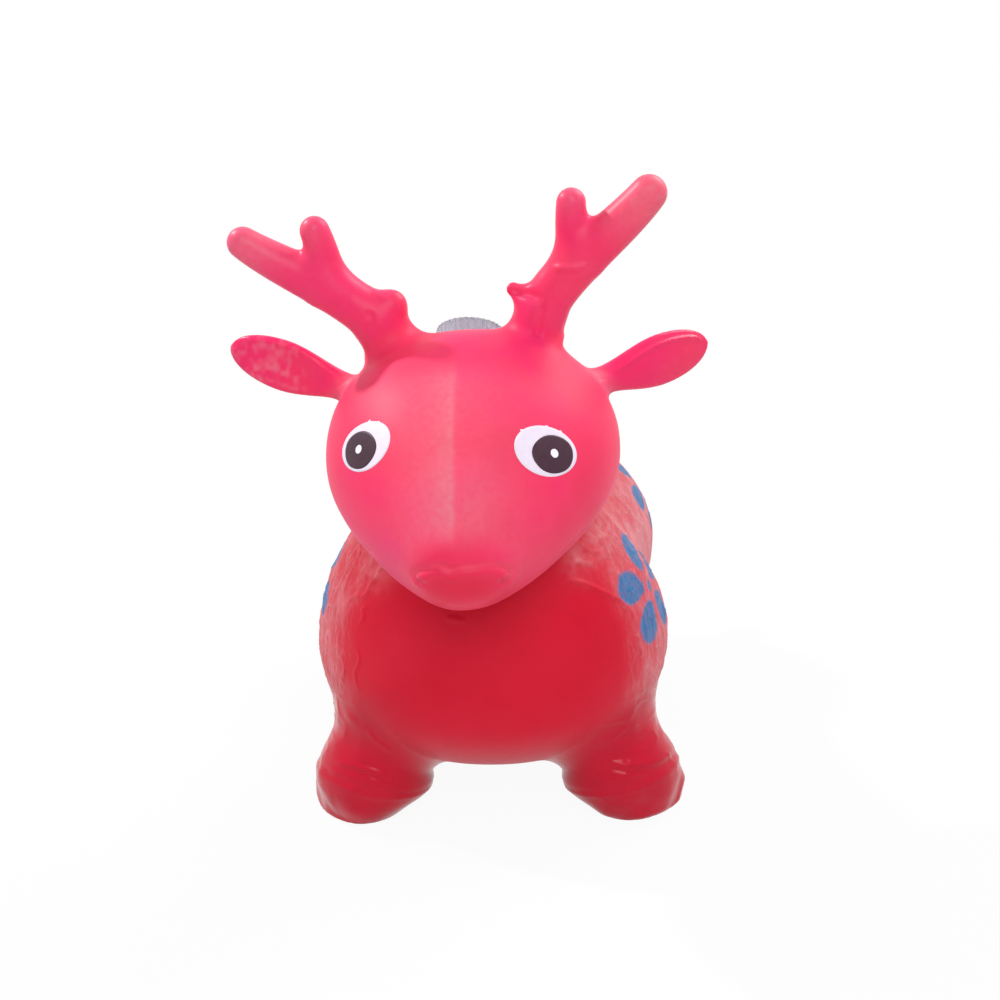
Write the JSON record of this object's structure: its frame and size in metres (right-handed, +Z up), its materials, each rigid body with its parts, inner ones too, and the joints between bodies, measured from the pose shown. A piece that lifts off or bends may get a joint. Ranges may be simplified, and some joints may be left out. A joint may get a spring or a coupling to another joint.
{
  "type": "animal hopper",
  "caption": "Blown-up deer to sit and bounce on: rounded hollow skin, antlers as hand grips, short legs, and a pull-out light and sound module behind the head.",
  "frame": {"origin": "on the floor under the middle of the bounding box", "axes": "+Z up, +Y towards the tail, so the nose points along -Y, and +X towards the deer's left side"},
  "size_m": [0.3449, 0.5745, 0.4799],
  "materials": {
    "skin_body": "smooth soft PVC",
    "skin_head": "smooth soft PVC",
    "skin_antler": "smooth soft PVC",
    "white_plastic": "moulded",
    "black_rubber": "moulded",
    "clear_plastic": "clear, fluted",
    "green_board": "solder mask",
    "steel": "plated",
    "clear_resin": "cast resin",
    "black_plastic": "moulded",
    "plated_brass": "plated sheet",
    "blue_plastic": "moulded"
  },
  "bodies": {
    "skin": {"torso": "skin_body", "head": "skin_head", "leg_front_left": "skin_body", "leg_front_right": "skin_body", "leg_rear_left": "skin_body", "leg_rear_right": "skin_body", "tail": "skin_body", "module_pocket": "skin_head", "valve_collar": "skin_body"},
    "antler_left": {"antler_left": "skin_antler"},
    "antler_right": {"antler_right": "skin_antler"},
    "ear_left": {"ear_left": "skin_head"},
    "ear_right": {"ear_right": "skin_head"},
    "light_module": {"module_case": "white_plastic", "seal_ring": "black_rubber", "circuit_board": "green_board", "board_screws": "steel", "leds": "clear_resin", "buzzer": "black_plastic", "sound_chip": "black_plastic", "cell_tray": "black_plastic", "button_cells": "steel", "contact_strips": "plated_brass", "contact_leaves": "plated_brass", "shake_switch_base": "blue_plastic"},
    "lens": {"lens_cap": "clear_plastic"},
    "shake_spring": {"shake_spring": "steel"},
    "plug": {"valve_plug": "white_plastic"}
  },
  "joints": [
    {"name": "antler_left_flex", "type": "hinge", "parent": "skin", "child": "antler_left", "pos_m": [0.05004, -0.13247, 0.37295], "axis": [0, 1, 0], "range_deg": [-18, 12], "stiffness_Nm_per_rad": 4},
    {"name": "antler_right_flex", "type": "hinge", "parent": "skin", "child": "antler_right", "pos_m": [-0.05474, -0.13494, 0.36824], "axis": [0, -1, 0], "range_deg": [-18, 8], "stiffness_Nm_per_rad": 4},
    {"name": "ear_left_flex", "type": "hinge", "parent": "skin", "child": "ear_left", "pos_m": [0.09074, -0.12528, 0.33868], "axis": [0, -1, 0], "range_deg": [-12, 12], "stiffness_Nm_per_rad": 0.8},
    {"name": "ear_right_flex", "type": "hinge", "parent": "skin", "child": "ear_right", "pos_m": [-0.08633, -0.13301, 0.33868], "axis": [0, 1, 0], "range_deg": [-12, 12], "stiffness_Nm_per_rad": 0.8},
    {"name": "module_pull", "type": "slide", "parent": "skin", "child": "light_module", "axis": [0, 0.5446, 0.8387], "range_m": [0, 0.03]},
    {"name": "cap_twist", "type": "hinge", "parent": "light_module", "child": "lens", "pos_m": [-0.00578, -0.08362, 0.35612], "axis": [0, 0.5446, 0.8387], "range_deg": [0, 40]},
    {"name": "shake_wobble", "type": "hinge", "parent": "light_module", "child": "shake_spring", "pos_m": [-0.01978, -0.08163, 0.35918], "axis": [1, 0, 0], "range_deg": [-5, 5], "stiffness_Nm_per_rad": 0.001},
    {"name": "plug_pull", "type": "slide", "parent": "skin", "child": "plug", "axis": [0, 1, 0], "range_m": [0, 0.02]}
  ]
}
